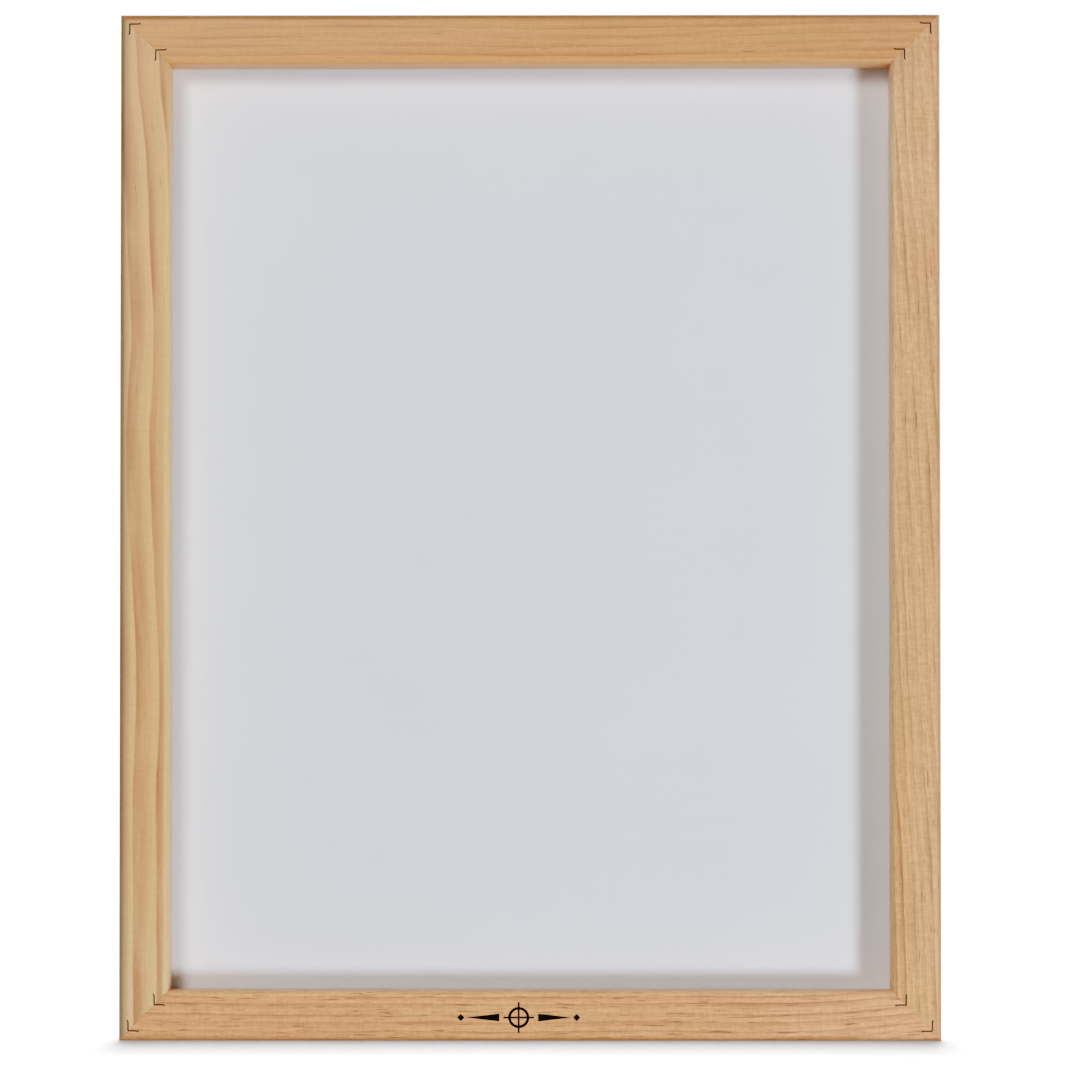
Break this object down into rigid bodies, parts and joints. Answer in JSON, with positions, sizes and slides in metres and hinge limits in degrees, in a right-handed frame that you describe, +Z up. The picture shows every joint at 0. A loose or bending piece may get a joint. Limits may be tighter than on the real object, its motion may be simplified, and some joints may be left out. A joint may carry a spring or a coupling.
{
  "type": "screen printing frame",
  "caption": "Mitred wooden screen printing frame with stretched translucent mesh, held by V-nails at the corners and splines in a rear groove.",
  "frame": {"origin": "centre of the bottom of the frame's box, on the lower edge of the bottom rail", "axes": "+Z up along the stiles, +Y from the squeegee side to the print side, +X to the right as seen from the squeegee side"},
  "size_m": [0.4064, 0.0286, 0.508],
  "materials": {
    "pine": "satin",
    "nail_steel": "dark oxidised",
    "screen_cloth": "translucent smooth weave",
    "spline_cotton": "braided matte"
  },
  "bodies": {
    "root": {"top_rail": "pine", "right_stile": "pine", "bottom_rail": "pine", "left_stile": "pine", "v_nail_top_left_outer": "nail_steel", "v_nail_top_left_inner": "nail_steel", "v_nail_top_right_outer": "nail_steel", "v_nail_top_right_inner": "nail_steel", "v_nail_bottom_right_outer": "nail_steel", "v_nail_bottom_right_inner": "nail_steel", "v_nail_bottom_left_outer": "nail_steel", "v_nail_bottom_left_inner": "nail_steel", "mesh_fabric": "screen_cloth", "spline_top": "spline_cotton", "spline_right": "spline_cotton", "spline_bottom": "spline_cotton", "spline_left": "spline_cotton"}
  },
  "joints": []
}
